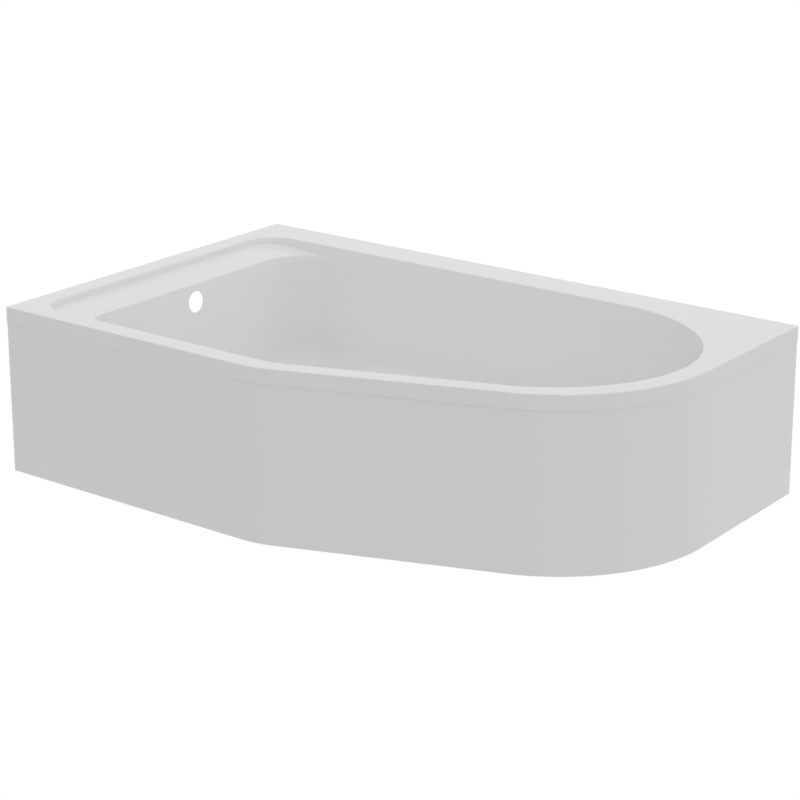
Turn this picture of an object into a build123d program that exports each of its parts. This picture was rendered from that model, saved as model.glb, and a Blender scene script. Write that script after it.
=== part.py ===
from build123d import *
from math import cos, radians, sin, tan
import os

os.makedirs("parts", exist_ok=True)

# Asymmetric acrylic bath on a steel leg set, with a pull-off panel along its open sides.
# Millimetres, +Z up, floor at z = 0, origin on the floor under the middle of the plan.
# The back (+Y) and the wide left end (-X) stand against walls.

# Overall size
length = 1500
width = 950
height = 394

# Plan of the rim: a straight front, a bend, a taper and a round right end
bend_from_middle = 17
taper_angle = 20
bend_radius = 210
end_corner_spread = 29
corner_radius = 4

# Rim deck and its turned-down lip
shell_wall = 5
lip_height = 35
lip_draft = 1
edge_roll = 2
back_rim = 94
front_rim = 51
taper_rim = 44
left_rim = 53.5
right_rim = 52

# Basin: three arcs make its round end, and its walls lean more over the top roll
floor_level = 86
back_turn = 40
end_turn = 77
back_arc_share = 1.18
front_arc_share = 1.213
basin_bend_radius = 195
shelf_edge = 161
basin_back_radius = 128
basin_front_radius = 98
roll_depth = 40
roll_draft = 8
wall_draft = 3
floor_radius = 65
floor_fall = 0.25

# Shelf: a shallow recess over the left end, sloping down to the basin
recess_back_radius = 85
recess_front_radius = 68
shelf_depth = 13.5
shelf_slope = 4.4
shelf_reach = 300

# Waste and overflow holes
hole_radius = 26
waste_from_left = 310
waste_seat_radius = 36
waste_seat_depth = 1.6
overflow_depth = 65
overflow_seat_radius = 32
overflow_wall = 2

# Board bonded under the floor, open round the waste trap
board_inset = 100
board_thickness = 12
trap_width = 104

# Timber battens bonded under the rim deck, by the gaps that they leave at their ends
batten_inset = 8
batten_thickness = 16
batten_breadth = 25
back_batten_breadth = 50
left_batten_breadth = 30
back_batten_gap = 130
left_batten_gap = 85
front_batten_left_gap = 75
front_batten_bend_gap = 98
taper_batten_bend_gap = 65
taper_batten_end_gap = 81
end_batten_gap_angle = 8
right_batten_back_gap = 60
right_batten_end_gap = 40

# Leg rails: top-hat steel sections screwed up into the board
steel = 2
rail_depth = 22
rail_width = 62
hat_width = 34
rail_board_gap = 25
left_rail_from_left = 450
right_rail_shortening = 155
right_rail_shift = 72
centre_rail_run = 120
foot_from_rail_end = 75
screw_from_rail_end = 22

# Feet: a threaded stud with a hexagon collar stands in a plastic pad
stud_radius = 5
stud_over_nut = 7
stud_end_gap = 1
stud_chamfer = 1
collar_height = 6
hexagon_across = 17
nut_height = 8
pad_radius = 25
pad_base_height = 5
pad_height = 15
pad_neck_radius = 13
pad_socket_depth = 8
pad_edge = 1.5
board_stud_hole_radius = 7

# Fasteners
running_fit = 0.05
bolt_clearance = 0.3
screw_radius = 2.25
screw_head_radius = 4.5
screw_head_height = 2.6
screw_length = 11
screw_drive_across = 3.4
screw_drive_depth = 1.4
bolt_radius = 3
bolt_head_radius = 5.5
bolt_head_height = 4
bolt_length = 12
bolt_drive_across = 4
bolt_drive_depth = 2
bolt_nut_across = 10
bolt_nut_height = 5

# Pull-off panel: one formed sheet with returned edges, and stiffening bars inside
seam = 1
panel_floor_gap = 0.5
panel_setback = 1.2
panel_sheet = 3.5
panel_return = 22
bar_thickness = 9
bar_breadth = 60
bar_bottom_gap = 20
bar_top_gap = 42

# Clips under the battens: a moulded fork grips the panel's top return
clip_fit = 0.3
clip_web = 2
clip_leaf = 1.5
clip_width = 22
clip_back = 32
clip_plate = 24
clip_screw_inset = 20
clip_grip = 12

# Stays: flat steel bars that back the panel near its foot
stay_width = 30
stay_steel = 3
stay_tab_height = 34
stay_bolts_from_rail_end = 28
stay_screws_from_board_edge = 52
right_stay_from_round = 52
stay_bolt_pitch = 26
stay_bolt_edge = 14

# Wall brackets: cranked steel plates that fasten the rim to the wall
bracket_width = 56
bracket_drop = 60
bracket_top_gap = 3
bracket_step = 10
bracket_hole_radius = 3.5
bracket_hole_pitch = 30
bracket_hole_rise = 20
bracket_screw_pitch = 30

# Places along the rim, from its left end, its bend, its back or the round end
front_clip_from_left = 130
front_clip_from_bend = 213
taper_clip_from_bend = 110
taper_clip_from_end = 126
end_clip_angle = -32
right_clip_from_back = 110
front_bar_from_left = 240
front_bar_from_bend = 74
taper_bar_from_bend = 265
right_bar_from_round = 160
end_stay_from_round = 22
back_bracket_from_left = 330
back_bracket_from_right = 370
left_bracket_from_back = 260

# Levels and edges worked out from those sizes
left = -length / 2
right = length / 2
front = -width / 2
back = width / 2
bend_x = -bend_from_middle
bend_from_left = length / 2 - bend_from_middle
deck_underside = height - shell_wall
lip_bottom = height - lip_height
batten_underside = deck_underside - batten_thickness
shell_underside = floor_level - shell_wall
board_underside = shell_underside - board_thickness
web_underside = board_underside - rail_depth
basin_left = left + shelf_edge
basin_back = back - back_rim
basin_front = front + front_rim
basin_middle = (basin_back + basin_front) / 2
waste_x = left + waste_from_left
left_rail_x = left + left_rail_from_left
left_rail_run = basin_back - basin_front - 2 * (board_inset + rail_board_gap)
right_rail_run = left_rail_run - right_rail_shortening
stud_top = web_underside + steel + nut_height + stud_over_nut
panel_top = lip_bottom - seam
panel_face = panel_setback + panel_sheet
cut = 2 * height

# The round end's arcs: their radius is the one that leaves the taper's rim as broad as named.
# Each reach is how far the arcs go for each unit of the end arc's radius.
front_turn = 180 - taper_angle - back_turn - end_turn
back_reach = sin(radians(back_turn))
turned = radians(back_turn + end_turn)
reach_shares = (
    back_arc_share * back_reach, sin(turned) - back_reach,
    front_arc_share * (sin(radians(taper_angle)) - sin(turned)),
)
drop_shares = (
    back_arc_share * (1 - cos(radians(back_turn))), cos(radians(back_turn)) - cos(turned),
    front_arc_share * (cos(turned) + cos(radians(taper_angle))),
)
start_share = 1 + (back_arc_share - 1) * back_reach
across_share = (sum(reach_shares) - start_share) * sin(radians(taper_angle))
across_share += sum(drop_shares) * cos(radians(taper_angle))
taper_spare = (basin_back - front) * cos(radians(taper_angle)) - taper_rim
taper_spare -= (right - right_rim - bend_x) * sin(radians(taper_angle))
end_turn_radius = taper_spare / across_share
back_turn_radius = back_arc_share * end_turn_radius
front_turn_radius = front_arc_share * end_turn_radius
end_radius = end_turn_radius + right_rim + end_corner_spread


# A plan outline of the rim, moved inwards by inset
def rim_outline(inset):
    taper_rise = inset / cos(radians(taper_angle))
    bend_corner = (bend_x - inset * tan(radians(taper_angle / 2)), front + inset)
    end_corner_y = front + (right - inset - bend_x) * tan(radians(taper_angle)) + taper_rise
    end_corner = (right - inset, end_corner_y)
    square_corners = [
        (left + inset, back - inset),
        (left + inset, front + inset),
        (right - inset, back - inset),
    ]
    with BuildSketch() as outline:
        with BuildLine():
            Polyline(
                square_corners[0], square_corners[1], bend_corner, end_corner, square_corners[2],
                close=True,
            )
        make_face()
        fillet(outline.vertices().sort_by_distance(bend_corner)[0], bend_radius - inset)
        fillet(outline.vertices().sort_by_distance(end_corner)[0], end_radius - inset)
        if corner_radius > inset:
            for corner in square_corners:
                fillet(outline.vertices().sort_by_distance(corner)[0], corner_radius - inset)
    return outline.sketch


# A plan outline of the basin's mouth, closed on the left at left_edge
def basin_outline(left_edge, back_radius, front_radius):
    turn_start = right - right_rim - start_share * end_turn_radius
    with BuildSketch() as outline:
        with BuildLine():
            back_line = Line((left_edge, basin_back), (turn_start, basin_back))
            back_arc = JernArc(back_line @ 1, back_line % 1, back_turn_radius, -back_turn)
            end_arc = JernArc(back_arc @ 1, back_arc % 1, end_turn_radius, -end_turn)
            front_arc = JernArc(end_arc @ 1, end_arc % 1, front_turn_radius, -front_turn)
            taper_drop = (front_arc @ 1).Y - basin_front
            bend_corner = ((front_arc @ 1).X - taper_drop / tan(radians(taper_angle)), basin_front)
            Polyline(
                front_arc @ 1, bend_corner, (left_edge, basin_front), (left_edge, basin_back)
            )
        make_face()
        fillet(outline.vertices().sort_by_distance(bend_corner)[0], basin_bend_radius)
        fillet(outline.vertices().sort_by_distance((left_edge, basin_back))[0], back_radius)
        fillet(outline.vertices().sort_by_distance((left_edge, basin_front))[0], front_radius)
    return outline.sketch


# The basin as a solid: its hollow with grow at zero, or its outside with grow at the wall
def basin_form(grow, fall):
    floor_plane = Plane(
        origin=(waste_x, 0, floor_level - grow), z_dir=(-sin(radians(fall)), 0, cos(radians(fall)))
    )
    with BuildPart() as form:
        with BuildSketch(Plane.XY.offset(height)):
            add(basin_outline(basin_left, basin_back_radius, basin_front_radius))
            if grow:
                offset(amount=grow)
        extrude(amount=-roll_depth, taper=roll_draft)
        extrude(
            form.faces().sort_by(Axis.Z)[0],
            amount=height - floor_level - roll_depth + grow + shell_wall,
            taper=wall_draft,
        )
        split(bisect_by=floor_plane, keep=Keep.TOP)
        fillet(form.faces().sort_by(Axis.Z)[0].edges(), floor_radius + grow)
    return form.part


# The shelf recess as a solid, cut off where it is well inside the basin
def shelf_form(grow):
    shelf_plane = Plane(
        origin=(left + left_rim, 0, height - shelf_depth - grow),
        z_dir=(sin(radians(shelf_slope)), 0, cos(radians(shelf_slope))),
    )
    with BuildPart() as form:
        with BuildSketch(Plane.XY.offset(height)):
            add(basin_outline(left + left_rim, recess_back_radius, recess_front_radius))
            if grow:
                offset(amount=grow)
        extrude(amount=-roll_depth, taper=roll_draft)
        split(bisect_by=shelf_plane, keep=Keep.TOP)
        split(bisect_by=Plane.YZ.offset(left + shelf_reach), keep=Keep.BOTTOM)
    return form.part


# A screw or bolt: its shank stands up from z = 0 and its head hangs below, with a hexagon socket
def fastener(radius, run, head_radius, head_height, drive_across, drive_depth):
    with BuildPart() as item:
        Cylinder(radius, run, align=(Align.CENTER, Align.CENTER, Align.MIN))
        Cylinder(head_radius, head_height, align=(Align.CENTER, Align.CENTER, Align.MAX))
        with BuildSketch(Plane.XY.offset(-head_height)):
            RegularPolygon(drive_across / 2, 6, major_radius=False)
        extrude(amount=drive_depth, mode=Mode.SUBTRACT)
    return item.part


# A hexagon nut standing on z = 0
def hexagon_nut(across, run, bore):
    with BuildPart() as nut:
        with BuildSketch():
            RegularPolygon(across / 2, 6, major_radius=False)
            Circle(bore, mode=Mode.SUBTRACT)
        extrude(amount=run)
    return nut.part


# One node of alike solids
def group_at(piece, places):
    with BuildPart() as group:
        with Locations(*places):
            add(piece)
    return group.part


# Places on the rim's edge: local +X points outwards and local +Z is up
def front_place(from_left):
    return Location((left + from_left, front, 0), (0, 0, -90))


def taper_place(from_bend):
    x = bend_x + from_bend * cos(radians(taper_angle))
    y = front + from_bend * sin(radians(taper_angle))
    return Location((x, y, 0), (0, 0, taper_angle - 90))


def end_place(angle):
    x = end_centre_x + end_radius * cos(radians(angle))
    y = end_centre_y + end_radius * sin(radians(angle))
    return Location((x, y, 0), (0, 0, angle))


def right_place(from_back):
    return Location((right, back - from_back, 0))


def back_place(from_left):
    return Location((left + from_left, back, 0), (0, 0, 90))


def left_place(from_back):
    return Location((left, back - from_back, 0), (0, 0, 180))


end_tangent = end_radius * tan(radians((90 - taper_angle) / 2))
end_centre_x = right - end_radius
end_centre_y = front + (right - bend_x) * tan(radians(taper_angle)) + end_tangent
taper_run = (right - bend_x) / cos(radians(taper_angle)) - end_tangent
right_straight = back - end_centre_y

# The right rail stands where its stay, square to the taper, ends short of the round end
right_rail_y = basin_middle + right_rail_shift
bolts_along = right_rail_y - right_rail_run / 2 + stay_bolts_from_rail_end - front
bolts_across = taper_run - right_stay_from_round - bolts_along * sin(radians(taper_angle))
bolts_across /= cos(radians(taper_angle))
right_rail_x = bend_x + bolts_across
centre_rail_x = (left_rail_x + right_rail_x) / 2

# The overflow hole stands square to the end wall, below the top roll, in a spot-faced seat behind
end_wall_x = basin_left + roll_depth * tan(radians(roll_draft))
end_wall_x += (overflow_depth - roll_depth) * tan(radians(wall_draft))
overflow_plane = Plane(
    origin=(end_wall_x, basin_middle, height - overflow_depth),
    z_dir=(cos(radians(wall_draft)), 0, sin(radians(wall_draft))),
)

# Bath shell
with BuildPart() as bath_shell:
    with BuildSketch(Plane.XY.offset(lip_bottom)):
        add(rim_outline(0))
    extrude(amount=lip_height, taper=lip_draft)
    fillet(bath_shell.faces().sort_by(Axis.Z)[-1].edges(), edge_roll)
    with BuildSketch(Plane.XY.offset(lip_bottom)):
        add(rim_outline(shell_wall))
    extrude(amount=lip_height - shell_wall, taper=lip_draft, mode=Mode.SUBTRACT)
    add(basin_form(shell_wall, 0))
    add(shelf_form(shell_wall))
    add(basin_form(0, floor_fall), mode=Mode.SUBTRACT)
    add(shelf_form(0), mode=Mode.SUBTRACT)
    rim_top = bath_shell.faces().sort_by(Axis.Z)[-1]
    fillet(rim_top.inner_wires()[0].edges(), edge_roll)
    with Locations((waste_x, basin_middle, floor_level)):
        Cylinder(waste_seat_radius, 2 * waste_seat_depth, mode=Mode.SUBTRACT)
        Cylinder(hole_radius, 4 * shell_wall, mode=Mode.SUBTRACT)
    with Locations(overflow_plane):
        Cylinder(hole_radius, 4 * shell_wall, mode=Mode.SUBTRACT)
    with Locations(overflow_plane.offset(-overflow_wall)):
        Cylinder(
            overflow_seat_radius, 2 * shell_wall,
            align=(Align.CENTER, Align.CENTER, Align.MAX), mode=Mode.SUBTRACT,
        )

# Places of the feet: two under each rail and one under the middle
left_rail_foot = left_rail_run / 2 - foot_from_rail_end
right_rail_foot = right_rail_run / 2 - foot_from_rail_end
foot_places = [
    Location((left_rail_x, basin_middle - left_rail_foot, 0)),
    Location((left_rail_x, basin_middle + left_rail_foot, 0)),
    Location((right_rail_x, right_rail_y - right_rail_foot, 0)),
    Location((right_rail_x, right_rail_y + right_rail_foot, 0)),
    Location((centre_rail_x, basin_middle, 0)),
]


# Screw places in the flanges of a rail that is centred on (x, y)
def rail_screw_places(x, y, run):
    aside = (rail_width + hat_width) / 4
    along = run / 2 - screw_from_rail_end
    level = board_underside - steel
    return [
        Location((x + across * aside, y + end * along, level))
        for across in (-1, 1)
        for end in (-1, 1)
    ]


board_screw_places = rail_screw_places(left_rail_x, basin_middle, left_rail_run)
board_screw_places += rail_screw_places(right_rail_x, right_rail_y, right_rail_run)
board_screw_places += rail_screw_places(centre_rail_x, basin_middle, centre_rail_run)

# Stays stand on the rim's places, and their fixings sit near their inner ends
bolts_to_stay_end = stay_bolt_pitch / 2 + stay_bolt_edge
left_stay_place = front_place(left_rail_from_left)
left_stay_reach = basin_middle - left_rail_run / 2 - front
left_stay_reach += stay_bolts_from_rail_end + bolts_to_stay_end
right_stay_place = taper_place(taper_run - right_stay_from_round)
right_stay_reach = bolts_along * cos(radians(taper_angle)) + bolts_to_stay_end
right_stay_reach -= bolts_across * sin(radians(taper_angle))
end_stay_place = right_place(right_straight - end_stay_from_round)
end_stay_reach = right_rim + board_inset + stay_screws_from_board_edge + bolts_to_stay_end


def stay_fixing_places(place, reach, level):
    return [
        place * Location((step - reach, 0, level))
        for step in (stay_bolt_edge, stay_bolt_edge + stay_bolt_pitch)
    ]


stay_bolt_level = web_underside - stay_steel
left_stay_bolt_places = stay_fixing_places(left_stay_place, left_stay_reach, stay_bolt_level)
right_stay_bolt_places = stay_fixing_places(right_stay_place, right_stay_reach, stay_bolt_level)
end_stay_screw_places = stay_fixing_places(
    end_stay_place, end_stay_reach, board_underside - stay_steel
)


# Pilot holes for screws that go up into the board or a batten
def pilot_holes(places):
    with Locations(*places):
        Cylinder(
            screw_radius + running_fit, screw_length, align=(Align.CENTER, Align.CENTER, Align.MIN),
            mode=Mode.SUBTRACT,
        )


# Board under the floor
with BuildPart() as base_board:
    with BuildSketch(Plane.XY.offset(board_underside)):
        add(basin_outline(basin_left, basin_back_radius, basin_front_radius))
        offset(amount=-board_inset, kind=Kind.INTERSECTION)
        with Locations((waste_x, basin_middle)):
            Circle(trap_width / 2, mode=Mode.SUBTRACT)
            Rectangle(
                board_inset, trap_width, align=(Align.MAX, Align.CENTER), mode=Mode.SUBTRACT
            )
        with Locations([place.position for place in foot_places]):
            Circle(board_stud_hole_radius, mode=Mode.SUBTRACT)
    extrude(amount=board_thickness)
    pilot_holes(board_screw_places + end_stay_screw_places)

# Places of the panel clips, their screws and the wall brackets' screws
front_clip_places = [
    front_place(front_clip_from_left), front_place(bend_from_left - front_clip_from_bend)
]
taper_clip_places = [
    taper_place(taper_clip_from_bend), taper_place(taper_run - taper_clip_from_end)
]
end_clip_places = [end_place(end_clip_angle)]
right_clip_places = [right_place(right_clip_from_back)]
clip_places = front_clip_places + taper_clip_places + end_clip_places + right_clip_places
clip_screw_offset = Location((-clip_screw_inset, 0, batten_underside - clip_web))
bracket_foot_end = batten_inset + left_batten_breadth
bracket_screw_offsets = [
    Location((-(bracket_step + bracket_foot_end) / 2, side * bracket_screw_pitch / 2,
              batten_underside - steel))
    for side in (-1, 1)
]
back_bracket_places = [
    back_place(back_bracket_from_left), back_place(length - back_bracket_from_right)
]
left_bracket_place = left_place(left_bracket_from_back)


def bracket_screw_places(places):
    return [place * aside for place in places for aside in bracket_screw_offsets]


# A straight batten centred on a place of the rim
def straight_batten(place, run, breadth, screw_places):
    with BuildPart() as batten:
        with Locations(place * Location((-batten_inset, 0, deck_underside))):
            Box(breadth, run, batten_thickness, align=(Align.MAX, Align.CENTER, Align.MAX))
        pilot_holes(screw_places)
    return batten.part


rim_batten_back = straight_batten(
    back_place(length / 2), length - 2 * back_batten_gap, back_batten_breadth,
    bracket_screw_places(back_bracket_places),
)
rim_batten_left = straight_batten(
    left_place(width / 2), width - 2 * left_batten_gap, left_batten_breadth,
    bracket_screw_places([left_bracket_place]),
)
rim_batten_front = straight_batten(
    front_place((bend_from_left - front_batten_bend_gap + front_batten_left_gap) / 2),
    bend_from_left - front_batten_bend_gap - front_batten_left_gap, batten_breadth,
    [place * clip_screw_offset for place in front_clip_places],
)
rim_batten_taper = straight_batten(
    taper_place((taper_run - taper_batten_end_gap + taper_batten_bend_gap) / 2),
    taper_run - taper_batten_end_gap - taper_batten_bend_gap, batten_breadth,
    [place * clip_screw_offset for place in taper_clip_places],
)
rim_batten_right = straight_batten(
    right_place((right_straight - right_batten_end_gap + right_batten_back_gap) / 2),
    right_straight - right_batten_end_gap - right_batten_back_gap, batten_breadth,
    [place * clip_screw_offset for place in right_clip_places],
)

# The batten that follows the round end
end_batten_start = taper_angle - 90 + end_batten_gap_angle
end_batten_turn = 90 - taper_angle - 2 * end_batten_gap_angle
with BuildPart() as rim_batten_end:
    with BuildSketch(Plane.XY.offset(batten_underside)):
        with BuildLine():
            outer_arc = CenterArc(
                (end_centre_x, end_centre_y), end_radius - batten_inset,
                end_batten_start, end_batten_turn,
            )
            inner_arc = CenterArc(
                (end_centre_x, end_centre_y), end_radius - batten_inset - batten_breadth,
                end_batten_start, end_batten_turn,
            )
            Line(outer_arc @ 0, inner_arc @ 0)
            Line(outer_arc @ 1, inner_arc @ 1)
        make_face()
    extrude(amount=batten_thickness)
    pilot_holes([place * clip_screw_offset for place in end_clip_places])


# A leg rail of top-hat section along Y, centred on (x, y)
def leg_rail(x, y, run, feet, bolts):
    section = Plane(origin=(x, y + run / 2, board_underside), x_dir=(1, 0, 0), z_dir=(0, -1, 0))
    with BuildPart() as rail:
        with BuildSketch(section):
            Rectangle(hat_width, rail_depth, align=(Align.CENTER, Align.MAX))
            Rectangle(rail_width, steel, align=(Align.CENTER, Align.MAX))
            Rectangle(
                hat_width - 2 * steel, rail_depth - steel, align=(Align.CENTER, Align.MAX),
                mode=Mode.SUBTRACT,
            )
        extrude(amount=run)
        with Locations(*feet):
            Cylinder(stud_radius + running_fit, cut, mode=Mode.SUBTRACT)
        with Locations(*rail_screw_places(x, y, run)):
            Cylinder(screw_radius + running_fit, rail_depth, mode=Mode.SUBTRACT)
        if bolts:
            with Locations(*bolts):
                Cylinder(bolt_radius + bolt_clearance, rail_depth, mode=Mode.SUBTRACT)
    return rail.part


leg_rail_left = leg_rail(
    left_rail_x, basin_middle, left_rail_run, foot_places[:2], left_stay_bolt_places
)
leg_rail_right = leg_rail(
    right_rail_x, right_rail_y, right_rail_run, foot_places[2:4], right_stay_bolt_places
)
leg_rail_centre = leg_rail(centre_rail_x, basin_middle, centre_rail_run, foot_places[4:], [])

# One foot's stud and pad, standing at the origin
socket_floor = pad_height - pad_socket_depth
with BuildPart() as foot_stud:
    with BuildSketch(Plane.XY.offset(socket_floor + stud_end_gap)):
        Circle(stud_radius)
    extrude(amount=stud_top - socket_floor - stud_end_gap)
    chamfer(foot_stud.edges().sort_by(Axis.Z)[-1], stud_chamfer)
    with BuildSketch(Plane.XY.offset(pad_height)):
        RegularPolygon(hexagon_across / 2, 6, major_radius=False)
    extrude(amount=collar_height)

with BuildPart() as foot_pad:
    with BuildSketch(Plane.XZ):
        with BuildLine():
            Polyline(
                (0, 0), (pad_radius, 0), (pad_radius, pad_base_height),
                (pad_neck_radius, pad_height), (stud_radius + running_fit, pad_height),
                (stud_radius + running_fit, socket_floor), (0, socket_floor),
                close=True,
            )
        make_face()
    revolve(axis=Axis.Z)
    fillet(
        foot_pad.edges().filter_by(GeomType.CIRCLE).filter_by(
            lambda edge: edge.radius > pad_neck_radius and edge.center().Z > 0
        ),
        pad_edge,
    )

# Nuts of the feet: one held in the hat over its web, one locked against it from below
foot_nut = hexagon_nut(hexagon_across, nut_height, stud_radius + running_fit)
captive_nuts = group_at(
    foot_nut, [place * Location((0, 0, web_underside + steel)) for place in foot_places]
)
lock_nuts = group_at(
    foot_nut, [place * Location((0, 0, web_underside - nut_height)) for place in foot_places]
)

# Screws, bolts and nuts
screw = fastener(
    screw_radius, screw_length, screw_head_radius, screw_head_height,
    screw_drive_across, screw_drive_depth,
)
bolt = fastener(
    bolt_radius, bolt_length, bolt_head_radius, bolt_head_height, bolt_drive_across,
    bolt_drive_depth,
)
stay_bolt_places = left_stay_bolt_places + right_stay_bolt_places
rail_screws = group_at(screw, board_screw_places)
end_stay_screws = group_at(screw, end_stay_screw_places)
clip_screws = group_at(screw, [place * clip_screw_offset for place in clip_places])
bracket_screws = group_at(
    screw, bracket_screw_places(back_bracket_places + [left_bracket_place])
)
stay_bolts = group_at(bolt, stay_bolt_places)
stay_nuts = group_at(
    hexagon_nut(bolt_nut_across, bolt_nut_height, bolt_radius + running_fit),
    [place * Location((0, 0, stay_steel + steel)) for place in stay_bolt_places],
)

# Wall bracket on a place of the rim: wall plate, crank over the lip's foot, and batten foot
plate_top = lip_bottom - bracket_top_gap
with BuildPart() as wall_bracket:
    with BuildSketch(Plane.XZ):
        with Locations((0, plate_top)):
            Rectangle(steel, bracket_drop, align=(Align.MAX, Align.MAX))
            Rectangle(bracket_step, steel, align=(Align.MAX, Align.MAX))
        with Locations((-bracket_step, batten_underside)):
            Rectangle(
                steel, batten_underside - plate_top + steel, align=(Align.MIN, Align.MAX)
            )
        with Locations((-bracket_foot_end, batten_underside)):
            Rectangle(
                bracket_foot_end - bracket_step + steel, steel, align=(Align.MIN, Align.MAX)
            )
    extrude(amount=bracket_width / 2, both=True)
    hole_level = plate_top - bracket_drop + bracket_hole_rise
    with Locations(Plane(origin=(0, 0, hole_level), x_dir=(0, 1, 0), z_dir=(1, 0, 0))):
        with GridLocations(bracket_hole_pitch, 0, 2, 1):
            Cylinder(bracket_hole_radius, 4 * steel, mode=Mode.SUBTRACT)
    with Locations(*bracket_screw_offsets):
        Cylinder(screw_radius + running_fit, 4 * steel, mode=Mode.SUBTRACT)

# Clip on a place of the rim: a plate under the batten and a fork round the panel's return
upper_leaf = panel_top + clip_fit
lower_leaf = panel_top - panel_sheet - clip_fit - clip_leaf
leaf_run = clip_back - panel_setback - panel_return + clip_grip
with BuildPart() as panel_clip:
    with BuildSketch(Plane.XZ):
        with Locations((-clip_back, batten_underside)):
            Rectangle(clip_plate, clip_web, align=(Align.MIN, Align.MAX))
            Rectangle(clip_web, batten_underside - lower_leaf, align=(Align.MIN, Align.MAX))
        with Locations((-clip_back, upper_leaf), (-clip_back, lower_leaf)):
            Rectangle(leaf_run, clip_leaf, align=(Align.MIN, Align.MIN))
    extrude(amount=clip_width / 2, both=True)
    with Locations(clip_screw_offset):
        Cylinder(screw_radius + running_fit, 4 * clip_web, mode=Mode.SUBTRACT)
panel_clips = group_at(panel_clip.part, clip_places)


# A stay on a place of the rim, with its bar's top at level and its tab behind the panel
def panel_stay(place, reach, level, fixing_places, fixing_radius):
    tab_face = -panel_face - clip_fit
    with BuildPart() as stay:
        with Locations(place * Location((tab_face, 0, level - stay_steel))):
            Box(
                reach + tab_face, stay_width, stay_steel,
                align=(Align.MAX, Align.CENTER, Align.MIN),
            )
            Box(
                stay_steel, stay_width, stay_tab_height,
                align=(Align.MAX, Align.CENTER, Align.MIN),
            )
        with Locations(*fixing_places):
            Cylinder(fixing_radius, 4 * stay_steel, mode=Mode.SUBTRACT)
    return stay.part


panel_stay_left = panel_stay(
    left_stay_place, left_stay_reach, web_underside, left_stay_bolt_places,
    bolt_radius + bolt_clearance,
)
panel_stay_right = panel_stay(
    right_stay_place, right_stay_reach, web_underside, right_stay_bolt_places,
    bolt_radius + bolt_clearance,
)
panel_stay_end = panel_stay(
    end_stay_place, end_stay_reach, board_underside, end_stay_screw_places,
    screw_radius + running_fit,
)

# Panel: a box of sheet with its back and left sides cut away, so each edge keeps a return
return_depth = panel_setback + panel_return
with BuildPart() as front_panel:
    with BuildSketch(Plane.XY.offset(panel_floor_gap)):
        add(rim_outline(panel_setback))
    extrude(amount=panel_top - panel_floor_gap)
    with BuildSketch(Plane.XY.offset(panel_floor_gap + panel_sheet)):
        add(rim_outline(panel_face))
    extrude(amount=panel_top - panel_floor_gap - 2 * panel_sheet, mode=Mode.SUBTRACT)
    with BuildSketch(Plane.XY):
        add(rim_outline(return_depth))
    extrude(amount=height, mode=Mode.SUBTRACT)
    with Locations((left, back)):
        Box(
            length - return_depth, return_depth, cut,
            align=(Align.MIN, Align.MAX, Align.CENTER), mode=Mode.SUBTRACT,
        )
        Box(
            return_depth, width - return_depth, cut,
            align=(Align.MIN, Align.MAX, Align.CENTER), mode=Mode.SUBTRACT,
        )

# Stiffening bars bonded upright inside the panel
bar_bottom = panel_floor_gap + panel_sheet + bar_bottom_gap
bar_top = panel_top - panel_sheet - bar_top_gap
with BuildPart() as stiffening_bar:
    with Locations((-panel_face, 0, bar_bottom)):
        Box(
            bar_thickness, bar_breadth, bar_top - bar_bottom,
            align=(Align.MAX, Align.CENTER, Align.MIN),
        )
panel_bars = group_at(
    stiffening_bar.part,
    [
        front_place(front_bar_from_left),
        front_place(bend_from_left - front_bar_from_bend),
        taper_place(taper_bar_from_bend),
        right_place(right_straight - right_bar_from_round),
    ],
)

pieces = {
    "bath_shell": bath_shell.part,
    "base_board": base_board.part,
    "rim_batten_back": rim_batten_back,
    "rim_batten_left": rim_batten_left,
    "rim_batten_front": rim_batten_front,
    "rim_batten_taper": rim_batten_taper,
    "rim_batten_end": rim_batten_end.part,
    "rim_batten_right": rim_batten_right,
    "leg_rail_left": leg_rail_left,
    "leg_rail_right": leg_rail_right,
    "leg_rail_centre": leg_rail_centre,
    "captive_nuts": captive_nuts,
    "lock_nuts": lock_nuts,
    "rail_screws": rail_screws,
    "wall_bracket_back_left": back_bracket_places[0] * wall_bracket.part,
    "wall_bracket_back_right": back_bracket_places[1] * wall_bracket.part,
    "wall_bracket_left": left_bracket_place * wall_bracket.part,
    "bracket_screws": bracket_screws,
    "panel_clips": panel_clips,
    "clip_screws": clip_screws,
    "panel_stay_left": panel_stay_left,
    "panel_stay_right": panel_stay_right,
    "panel_stay_end": panel_stay_end,
    "stay_bolts": stay_bolts,
    "stay_nuts": stay_nuts,
    "end_stay_screws": end_stay_screws,
    "front_panel": front_panel.part,
    "panel_bars": panel_bars,
}
for number, place in enumerate(foot_places, start=1):
    pieces[f"foot_stud_{number}"] = place * foot_stud.part
    pieces[f"foot_pad_{number}"] = place * foot_pad.part

for name, piece in pieces.items():
    piece.label = name
    export_step(piece, f"parts/{name}.step")
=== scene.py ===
import math

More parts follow.
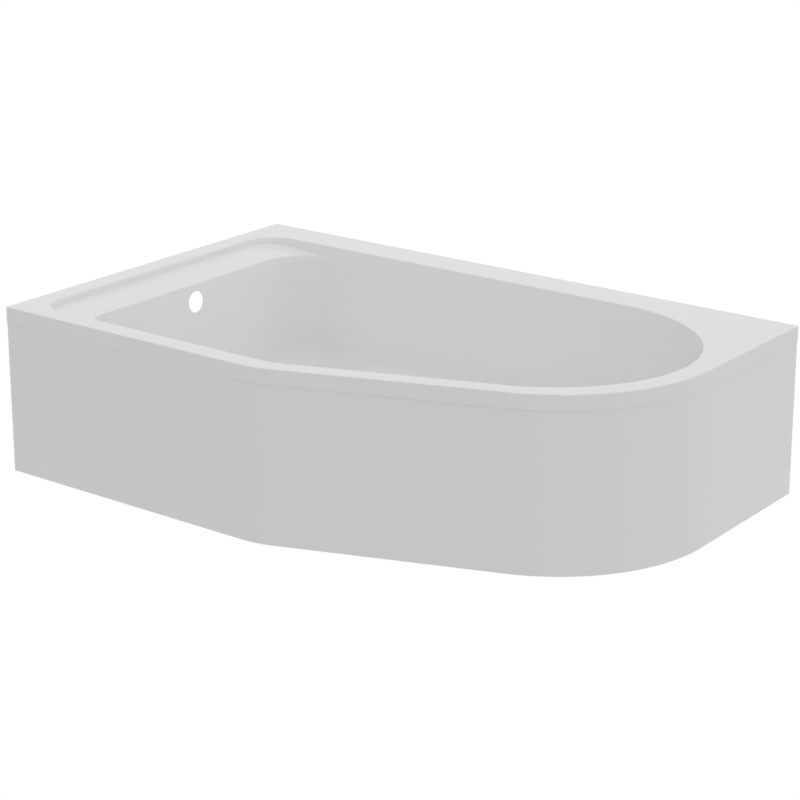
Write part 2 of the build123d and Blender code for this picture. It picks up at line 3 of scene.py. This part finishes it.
import bmesh
import bpy
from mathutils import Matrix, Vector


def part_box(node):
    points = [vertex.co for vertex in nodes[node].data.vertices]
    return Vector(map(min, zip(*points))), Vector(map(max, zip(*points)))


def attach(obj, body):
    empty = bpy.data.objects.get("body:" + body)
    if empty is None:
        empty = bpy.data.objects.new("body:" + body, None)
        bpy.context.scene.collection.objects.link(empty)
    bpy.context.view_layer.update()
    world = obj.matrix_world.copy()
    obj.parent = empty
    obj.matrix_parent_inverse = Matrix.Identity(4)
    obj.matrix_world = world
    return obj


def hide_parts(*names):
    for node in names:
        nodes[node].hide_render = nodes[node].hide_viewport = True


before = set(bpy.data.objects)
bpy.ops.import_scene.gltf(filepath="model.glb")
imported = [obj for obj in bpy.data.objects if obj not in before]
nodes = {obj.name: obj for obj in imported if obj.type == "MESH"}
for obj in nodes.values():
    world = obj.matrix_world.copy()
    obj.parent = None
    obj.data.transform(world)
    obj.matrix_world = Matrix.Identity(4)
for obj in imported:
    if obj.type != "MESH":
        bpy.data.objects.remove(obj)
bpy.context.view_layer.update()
scene = bpy.context.scene

MM = 0.001
FULL = (0.0, 1.0)
WHITE = (1, 1, 1, 1)

# Camera, in metres and degrees, with its focal length as a share of the frame's width
CAMERA_PLACE = (2.8803, -3.8003, 1.8282)
CAMERA_YAW = 37.069
CAMERA_DIP = 16.672
CAMERA_SENSOR = 36.0
CAMERA_FOCAL_SHARE = 2234.2 / 800
CAMERA_SHIFT = -0.10818
CAMERA_REACH = 100.0

# Light: a white studio that is brightest overhead, and a little stronger from the right
SKY_LEVEL = 0.508
SKY_RISE = 0.329
SKY_RIGHT = 0.195
LENS_LIGHT = 1.0
GLOSS_LIGHT = 0.914
FLOOR_LIGHT = 0.473
FLOOR_SIZE = 40.0
FLOOR_DROP = 0.2 * MM

# Places on the bath, from the frame: the lip's foot is one seam above the panel
SEAM = 1 * MM
LIP_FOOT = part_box("front_panel")[1][2] + SEAM
BASIN_MIDDLE = [(low + high) / 2 for low, high in zip(*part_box("base_board"))]

# Acrylic: faint clouds in the glaze, marks of wiping, orange peel and a clear top
GLAZE_DARK = (0.95, 0.95, 0.95, 1)
GLAZE_LIGHT = (0.962, 0.962, 0.962, 1)
GLAZE_CLOUD = dict(scale=3.0, detail=3.0)
WIPE_MARKS = dict(scale=14.0, detail=4.0, stretch=(1, 1, 3))
WIPE_EDGES = (0.3, 0.75)
WIPED_ROUGHNESS = (0.16, 0.27)
ORANGE_PEEL = dict(scale=260.0, detail=1.0)
PEEL_DEPTH = 0.025 * MM
COAT_WEIGHT = 0.25
COAT_ROUGHNESS = 0.08

# Raw back of the acrylic: resin and chopped glass, sprayed on, with painted shade on the lumps
LIP_EDGE_BAND = 2 * MM
LIP_FOOT_MARGIN = 0.5 * MM
STEEP_RISE = 0.5
STRANDS = dict(scale=130.0, detail=3.0, stretch=(1, 5, 1))
CROSSED_STRANDS = dict(scale=130.0, detail=3.0, stretch=(5, 1, 4))
STRAND_EDGES = (0.5, 0.72)
STRAND_SHARE = 0.5
LUMPS = dict(scale=22.0, detail=4.0)
LUMP_SHADE_EDGES = (0.5, 0.8)
RESIN = (0.66, 0.66, 0.60, 1)
GLASS = (0.83, 0.83, 0.79, 1)
# Painted shade: a darker resin colour laid where the lumps rise
LUMP_SHADE_RESIN = (0.60, 0.60, 0.52, 1)
RAW_ROUGHNESS = 0.55
SPRAY_DEPTH = 1.5 * MM

# Plastic: a faint cloud, a roughness that varies, and a fine stipple
PLASTIC_DARK_SHARE = 0.82
PLASTIC_CLOUD = dict(scale=60.0, detail=3.0)
PLASTIC_GRAIN = dict(scale=700.0, detail=2.0)
PLASTIC_GRAIN_EDGES = (0.3, 0.7)
PLASTIC_SPREAD = 0.07
PLASTIC_STIPPLE = dict(scale=1400.0, detail=2.0)
PLASTIC_DEPTH = 0.08 * MM

# Zinc plate: a spangle, with darker stains
ZINC_SPANGLE = dict(scale=150.0)
ZINC_STAIN = dict(scale=18.0, detail=5.0)
ZINC_STAIN_EDGES = (0.55, 0.8)
ZINC_DARK = (0.50, 0.51, 0.53, 1)
ZINC_LIGHT = (0.66, 0.67, 0.69, 1)
ZINC_STAINED = (0.40, 0.41, 0.42, 1)
ZINC_ROUGHNESS = (0.28, 0.46)
ZINC_GRIT = dict(scale=900.0, detail=2.0)
ZINC_DEPTH = 0.03 * MM

# Softwood: wavy rings and fibres, both long in the direction of the grain
RING_WAVES = dict(scale=6.0, detail=3.0, stretch=(1.2, 22, 22))
RING_COUNT = 9.0
RING_EDGES = (0.15, 0.95)
FIBRE = dict(scale=90.0, detail=4.0, stretch=(0.6, 14, 14))
FIBRE_EDGES = (0.35, 0.7)
FIBRE_ROUGH_EDGES = (0.2, 0.8)
WOOD_DARK = (0.55, 0.37, 0.19, 1)
WOOD_LIGHT = (0.72, 0.54, 0.33, 1)
WOOD_FIBRE = (0.64, 0.47, 0.28, 1)
WOOD_ROUGHNESS = (0.62, 0.8)
WOOD_DEPTH = 0.2 * MM

# Direction of the battens' grain, in degrees from +X about the vertical
GRAIN_ALONG_X = 0
GRAIN_ALONG_Y = 90
GRAIN_ALONG_TAPER = 20
GRAIN_ALONG_END = 55

# Chipboard: flat chips with dust between them
CHIPS = dict(scale=190.0, stretch=(1, 1.6, 3))
CHIP_DUST = dict(scale=420.0, detail=4.0)
CHIP_DUST_EDGES = (0.4, 0.75)
CHIP_DARK = (0.40, 0.27, 0.14, 1)
CHIP_LIGHT = (0.68, 0.53, 0.34, 1)
CHIP_DUSTY = (0.58, 0.44, 0.27, 1)
CHIP_ROUGHNESS = 0.82
CHIP_DEPTH = 0.25 * MM

# Studs of the feet: a hexagonal collar, and a thread from half a pitch above it up to the chamfer
FEET = 5
STUD_RADIUS = 5 * MM
STUD_CHAMFER = 1 * MM
THREAD_PITCH = 1.5 * MM
THREAD_DEPTH = 0.8 * MM
THREAD_START = 0.5
THREAD_STEPS = 6
TURN_STEPS = 24
COLLAR_FOOT = 15 * MM
COLLAR_TOP = 21 * MM
COLLAR_ACROSS = 17 * MM
COLLAR_BEVEL = 0.8 * MM
COLLAR_BEVEL_SLOPE = 0.58
COLLAR_STEPS = 72
HEX_ANGLE = math.pi / 3

# Seal: a thin white tape on the panel's top edge, which almost closes the seam under the lip
SEAL_HEIGHT = 0.8 * MM
WELD = 0.01 * MM


class Nodes:
    """Adds nodes to a tree. A socket is named by its name with _ for a space, or by _ and its number."""

    def __init__(self, tree):
        self.tree = tree

    def add(self, kind, **sockets):
        node = self.tree.nodes.new(kind)
        self.put(node, **sockets)
        return node

    def put(self, node, **sockets):
        """Links each socket that is given another node's socket, and sets each that is given a value."""
        for name, value in sockets.items():
            key = int(name[1:]) if name[0] == "_" else name.replace("_", " ")
            socket = node.inputs[key]
            if isinstance(value, bpy.types.NodeSocket):
                self.tree.links.new(value, socket)
            else:
                socket.default_value = value

    def math(self, operation, first, second=0.0, third=None):
        node = self.add("ShaderNodeMath", _0=first, _1=second)
        node.operation = operation
        if third is not None:
            self.put(node, _2=third)
        return node.outputs[0]

    def vector_math(self, operation, first, second, output="Vector"):
        node = self.add("ShaderNodeVectorMath", _0=first, _1=second)
        node.operation = operation
        return node.outputs[output]

    def coordinates(self, kind):
        return self.add("ShaderNodeTexCoord").outputs[kind]

    def split(self, vector):
        return self.add("ShaderNodeSeparateXYZ", Vector=vector).outputs

    def stretched(self, place, stretch):
        if stretch is None:
            return place
        return self.add("ShaderNodeMapping", Vector=place, Scale=stretch).outputs[0]

    def noise(self, place, scale, detail, stretch=None):
        place = self.stretched(place, stretch)
        return self.add("ShaderNodeTexNoise", Vector=place, Scale=scale, Detail=detail).outputs["Fac"]

    def cells(self, place, scale, stretch=None):
        """A random level from 0 to 1 for each cell."""
        place = self.stretched(place, stretch)
        colour = self.add("ShaderNodeTexVoronoi", Vector=place, Scale=scale).outputs["Color"]
        return self.add("ShaderNodeSeparateColor", Color=colour).outputs[0]

    def mix(self, share, first, second):
        node = self.tree.nodes.new("ShaderNodeMix")
        node.data_type = "RGBA"
        self.put(node, _0=share, _6=first, _7=second)
        return node.outputs[2]

    def band(self, value, edges, levels=FULL):
        """Goes smoothly from the first level to the second as the value goes from edge to edge."""
        node = self.add("ShaderNodeMapRange", _0=value)
        self.put(node, _1=edges[0], _2=edges[1], _3=levels[0], _4=levels[1])
        node.interpolation_type = "SMOOTHSTEP"
        return node.outputs[0]

    def bump(self, height, depth, base=None):
        node = self.add("ShaderNodeBump", Height=height, Strength=1.0, Distance=depth)
        if base is not None:
            self.put(node, Normal=base)
        return node.outputs[0]


def empty_tree(owner):
    """The emptied node tree of a material or a world."""
    owner.use_nodes = True
    owner.node_tree.nodes.clear()
    return Nodes(owner.node_tree)


def new_material(name):
    made = bpy.data.materials.new(name)
    kit = empty_tree(made)
    shader = kit.add("ShaderNodeBsdfPrincipled")
    kit.add("ShaderNodeOutputMaterial", Surface=shader.outputs[0])
    return made, kit, shader, kit.coordinates("Object")


def outward(kit, place):
    """Above zero on a face that looks away from the upright line through the basin's middle."""
    middle = (BASIN_MIDDLE[0], BASIN_MIDDLE[1], 0)
    away = kit.vector_math("SUBTRACT", place, middle)
    flat = kit.vector_math("MULTIPLY", away, (1, 1, 0))
    return kit.vector_math("DOT_PRODUCT", flat, kit.coordinates("Normal"), "Value")


def shell_back(kit, place):
    """1 under the rim and on the outside of the basin, 0 on every face that a bather sees."""
    rise = kit.split(kit.coordinates("Normal"))["Z"]
    height = kit.split(place)["Z"]
    down = kit.math("LESS_THAN", rise, -STEEP_RISE)
    from_foot = kit.math("ABSOLUTE", kit.math("SUBTRACT", height, LIP_FOOT))
    off_edge = kit.math("GREATER_THAN", from_foot, LIP_EDGE_BAND)
    side = kit.math("GREATER_THAN", outward(kit, place), 0.0)
    low = kit.math("LESS_THAN", height, LIP_FOOT - LIP_FOOT_MARGIN)
    steep = kit.math("LESS_THAN", rise, STEEP_RISE)
    wall = kit.math("MULTIPLY", kit.math("MULTIPLY", side, low), steep)
    return kit.math("MAXIMUM", kit.math("MULTIPLY", down, off_edge), wall)


def panel_back(kit, place):
    """1 on the faces of the panel that look inwards, 0 on its outside."""
    return kit.math("LESS_THAN", outward(kit, place), 0.0)


def acrylic(name, raw_side):
    """Glossy white sanitary acrylic, but sprayed resin and chopped glass where raw_side is 1."""
    made, kit, shader, place = new_material(name)
    raw = raw_side(kit, place)
    glaze = kit.mix(kit.noise(place, **GLAZE_CLOUD), GLAZE_DARK, GLAZE_LIGHT)
    chop = kit.math("MAXIMUM", kit.noise(place, **STRANDS), kit.noise(place, **CROSSED_STRANDS))
    lumps = kit.noise(place, **LUMPS)
    resin = kit.mix(kit.band(chop, STRAND_EDGES), RESIN, GLASS)
    # Painted shade: the resin is darkened where the lumps rise
    resin = kit.mix(kit.band(lumps, LUMP_SHADE_EDGES), resin, LUMP_SHADE_RESIN)
    wiped = kit.band(kit.noise(place, **WIPE_MARKS), WIPE_EDGES, WIPED_ROUGHNESS)
    peel = kit.bump(kit.noise(place, **ORANGE_PEEL), PEEL_DEPTH)
    spray = kit.math("MULTIPLY", kit.math("ADD", kit.math("MULTIPLY", chop, STRAND_SHARE), lumps), raw)
    kit.put(
        shader,
        Base_Color=kit.mix(raw, glaze, resin),
        Roughness=kit.math("MAXIMUM", wiped, kit.math("MULTIPLY", raw, RAW_ROUGHNESS)),
        Normal=kit.bump(spray, SPRAY_DEPTH, base=peel),
        Coat_Weight=COAT_WEIGHT,
        Coat_Roughness=COAT_ROUGHNESS,
    )
    return made


def plastic(name, colour, rough):
    """Moulded plastic, of one colour and of about the given roughness."""
    made, kit, shader, place = new_material(name)
    dark = tuple(PLASTIC_DARK_SHARE * part for part in colour)
    levels = (rough - PLASTIC_SPREAD, rough + PLASTIC_SPREAD)
    kit.put(
        shader,
        Base_Color=kit.mix(kit.noise(place, **PLASTIC_CLOUD), dark + (1,), colour + (1,)),
        Roughness=kit.band(kit.noise(place, **PLASTIC_GRAIN), PLASTIC_GRAIN_EDGES, levels),
        Normal=kit.bump(kit.noise(place, **PLASTIC_STIPPLE), PLASTIC_DEPTH),
    )
    return made


def zinc(name):
    """Galvanised steel."""
    made, kit, shader, place = new_material(name)
    spangle = kit.cells(place, **ZINC_SPANGLE)
    stain = kit.band(kit.noise(place, **ZINC_STAIN), ZINC_STAIN_EDGES)
    kit.put(
        shader,
        Base_Color=kit.mix(stain, kit.mix(spangle, ZINC_DARK, ZINC_LIGHT), ZINC_STAINED),
        Metallic=1.0,
        Roughness=kit.band(spangle, FULL, ZINC_ROUGHNESS),
        Normal=kit.bump(kit.noise(place, **ZINC_GRIT), ZINC_DEPTH),
    )
    return made


def timber(name, direction):
    """Planed softwood, with its grain in the given direction."""
    made, kit, shader, place = new_material(name)
    turn = (0, 0, -math.radians(direction))
    turned = kit.add("ShaderNodeMapping", Vector=place, Rotation=turn).outputs[0]
    rings = kit.math("FRACT", kit.math("MULTIPLY", kit.noise(turned, **RING_WAVES), RING_COUNT))
    base = kit.mix(kit.band(rings, RING_EDGES), WOOD_DARK, WOOD_LIGHT)
    fibre = kit.noise(turned, **FIBRE)
    kit.put(
        shader,
        Base_Color=kit.mix(kit.band(fibre, FIBRE_EDGES), base, WOOD_FIBRE),
        Roughness=kit.band(fibre, FIBRE_ROUGH_EDGES, WOOD_ROUGHNESS),
        Normal=kit.bump(fibre, WOOD_DEPTH),
    )
    return made


def chipboard(name):
    """Raw chipboard."""
    made, kit, shader, place = new_material(name)
    tone = kit.cells(place, **CHIPS)
    dust = kit.noise(place, **CHIP_DUST)
    base = kit.mix(tone, CHIP_DARK, CHIP_LIGHT)
    kit.put(
        shader,
        Base_Color=kit.mix(kit.band(dust, CHIP_DUST_EDGES), base, CHIP_DUSTY),
        Roughness=CHIP_ROUGHNESS,
        Normal=kit.bump(kit.math("ADD", tone, dust), CHIP_DEPTH),
    )
    return made


shell_acrylic = acrylic("shell_acrylic", shell_back)
panel_acrylic = acrylic("panel_acrylic", panel_back)
pad_plastic = plastic("pad_plastic", colour=(0.025, 0.025, 0.027), rough=0.45)
clip_plastic = plastic("clip_plastic", colour=(0.72, 0.72, 0.70), rough=0.42)
seal_tape = plastic("seal_tape", colour=(0.97, 0.97, 0.97), rough=0.55)
zinc_steel = zinc("zinc_steel")
board_chips = chipboard("board_chips")
timber_along_x = timber("timber_along_x", GRAIN_ALONG_X)
timber_along_y = timber("timber_along_y", GRAIN_ALONG_Y)
timber_along_taper = timber("timber_along_taper", GRAIN_ALONG_TAPER)
timber_along_end = timber("timber_along_end", GRAIN_ALONG_END)
bar_chips = chipboard("bar_chips")

# Every node that isn't named here is of zinc plate, but for the pads of the feet
LOOKS = {
    "bath_shell": shell_acrylic,
    "front_panel": panel_acrylic,
    "base_board": board_chips,
    "rim_batten_back": timber_along_x,
    "rim_batten_front": timber_along_x,
    "rim_batten_left": timber_along_y,
    "rim_batten_right": timber_along_y,
    "rim_batten_taper": timber_along_taper,
    "rim_batten_end": timber_along_end,
    "panel_bars": bar_chips,
    "panel_clips": clip_plastic,
}


def look_of(name):
    if name in LOOKS:
        return LOOKS[name]
    return pad_plastic if name.startswith("foot_pad") else zinc_steel


for name, node in nodes.items():
    node.data.materials.clear()
    node.data.materials.append(look_of(name))


def new_piece(mesh, material):
    piece = bpy.data.objects.new(mesh.name, mesh)
    scene.collection.objects.link(piece)
    mesh.materials.append(material)
    return piece


def ring(x, y, level, steps, radius_at):
    """Points round the upright line through x and y, as far from it as radius_at says for each angle."""
    points = []
    for step in range(steps):
        angle = math.tau * step / steps
        radius = radius_at(angle)
        points.append((x + radius * math.cos(angle), y + radius * math.sin(angle), level))
    return points


def ring_stack(mesh, rings):
    """A closed skin through rings of points, one above the other."""
    rows = [[mesh.verts.new(point) for point in points] for points in rings]
    count = len(rows[0])
    for below, above in zip(rows, rows[1:]):
        for step in range(count):
            after = (step + 1) % count
            mesh.faces.new((below[step], below[after], above[after], above[step]))
    mesh.faces.new(rows[0][::-1])
    mesh.faces.new(rows[-1])


def thread_radius(height, angle, top):
    """A sharp thread that runs out at the collar and at the chamfered top."""
    turns = (height - COLLAR_TOP) / THREAD_PITCH
    depth = THREAD_DEPTH * abs(2 * ((turns - angle / math.tau) % 1.0) - 1)
    runout = min(max(turns - THREAD_START, 0.0), 1.0)
    chamfer = max(STUD_CHAMFER - (top - height), 0.0)
    return STUD_RADIUS - max(depth * runout, chamfer)


def collar_radius(angle, limit):
    """A hexagon whose corners are turned down to the radius limit."""
    from_flat = angle % HEX_ANGLE - HEX_ANGLE / 2
    return min(COLLAR_ACROSS / 2 / math.cos(from_flat), limit)


def threaded_stud(number):
    name = f"foot_stud_{number}"
    low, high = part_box(name)
    x, y, top = (low[0] + high[0]) / 2, (low[1] + high[1]) / 2, high[2]
    mesh = bmesh.new()
    step = THREAD_PITCH / THREAD_STEPS
    levels = [low[2], COLLAR_FOOT]
    levels += [COLLAR_TOP + step * count for count in range(int((top - COLLAR_TOP) / step))]
    levels.append(top)
    ring_stack(mesh, [
        ring(x, y, level, TURN_STEPS, lambda angle: thread_radius(level, angle, top)) for level in levels
    ])
    for face in mesh.faces:
        face.smooth = len(face.verts) == 4
    reach = COLLAR_ACROSS / 2 / math.cos(HEX_ANGLE / 2)
    bevel = reach - COLLAR_BEVEL / COLLAR_BEVEL_SLOPE
    outline = ((COLLAR_FOOT, bevel), (COLLAR_FOOT + COLLAR_BEVEL, reach))
    outline += ((COLLAR_TOP - COLLAR_BEVEL, reach), (COLLAR_TOP, bevel))
    ring_stack(mesh, [
        ring(x, y, level, COLLAR_STEPS, lambda angle: collar_radius(angle, limit))
        for level, limit in outline
    ])
    made = bpy.data.meshes.new(f"threaded_stud_{number}")
    mesh.to_mesh(made)
    mesh.free()
    stud = new_piece(made, zinc_steel)
    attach(stud, f"foot_{number}")
    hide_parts(name)


def panel_seal():
    """A slice of the upright sheet of the panel, laid on its top edge."""
    low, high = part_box("front_panel")
    cut = (low[2] + high[2]) / 2
    mesh = bmesh.new()
    mesh.from_mesh(nodes["front_panel"].data)
    bmesh.ops.remove_doubles(mesh, verts=mesh.verts, dist=WELD)
    for level, above in ((cut, False), (cut + SEAL_HEIGHT, True)):
        everything = mesh.verts[:] + mesh.edges[:] + mesh.faces[:]
        bmesh.ops.bisect_plane(
            mesh, geom=everything, plane_co=(0, 0, level), plane_no=(0, 0, 1),
            clear_outer=above, clear_inner=not above,
        )
        bmesh.ops.edgeloop_fill(mesh, edges=[edge for edge in mesh.edges if edge.is_boundary])
    bmesh.ops.translate(mesh, verts=mesh.verts, vec=(0, 0, high[2] - cut))
    bmesh.ops.recalc_face_normals(mesh, faces=mesh.faces)
    mesh.verts.index_update()
    made = bpy.data.meshes.new("panel_seal")
    corners = [[vert.index for vert in face.verts] for face in mesh.faces]
    made.from_pydata([vert.co[:] for vert in mesh.verts], [], corners)
    mesh.free()
    seal = new_piece(made, seal_tape)
    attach(seal, "panel")


for number in range(1, FEET + 1):
    threaded_stud(number)
panel_seal()


def studio_light(kit, level):
    """A surface is lit by level, but the lens sees pure white and gloss mirrors near white."""
    rays = kit.add("ShaderNodeLightPath").outputs
    gloss = kit.add("ShaderNodeMix", _0=rays["Is Glossy Ray"], _2=level, _3=GLOSS_LIGHT).outputs[0]
    return kit.add("ShaderNodeMix", _0=rays["Is Camera Ray"], _2=gloss, _3=LENS_LIGHT).outputs[0]


def white_floor():
    """A plain white sheet that stays white under the bath."""
    half = FLOOR_SIZE / 2
    corners = [(-half, -half, 0), (half, -half, 0), (half, half, 0), (-half, half, 0)]
    made = bpy.data.meshes.new("floor")
    made.from_pydata(corners, [], [(0, 1, 2, 3)])
    paper = bpy.data.materials.new("floor_white")
    kit = empty_tree(paper)
    glow = kit.add("ShaderNodeEmission", Color=WHITE, Strength=studio_light(kit, FLOOR_LIGHT))
    kit.add("ShaderNodeOutputMaterial", Surface=glow.outputs[0])
    floor = new_piece(made, paper)
    floor.location.z = -FLOOR_DROP


def white_sky():
    scene.world = bpy.data.worlds.new("studio")
    kit = empty_tree(scene.world)
    heading = kit.split(kit.coordinates("Generated"))
    rise = kit.math("MULTIPLY", heading["Z"], heading["Z"])
    right = kit.math("MAXIMUM", heading["X"], 0.0)
    level = kit.math("MULTIPLY_ADD", rise, SKY_RISE, SKY_LEVEL)
    level = kit.math("MULTIPLY_ADD", right, SKY_RIGHT, level)
    glow = kit.add("ShaderNodeBackground", Color=WHITE, Strength=studio_light(kit, level))
    kit.add("ShaderNodeOutputWorld", Surface=glow.outputs[0])


def photo_camera():
    lens = bpy.data.cameras.new("camera")
    lens.sensor_width = CAMERA_SENSOR
    lens.lens = CAMERA_SENSOR * CAMERA_FOCAL_SHARE
    lens.shift_y = CAMERA_SHIFT
    lens.clip_end = CAMERA_REACH
    camera = bpy.data.objects.new("camera", lens)
    scene.collection.objects.link(camera)
    camera.location = CAMERA_PLACE
    camera.rotation_euler = (math.radians(90 - CAMERA_DIP), 0, math.radians(CAMERA_YAW))
    return camera


white_floor()
white_sky()
scene.camera = photo_camera()
scene.view_settings.view_transform = "Standard"
scene.view_settings.look = "None"
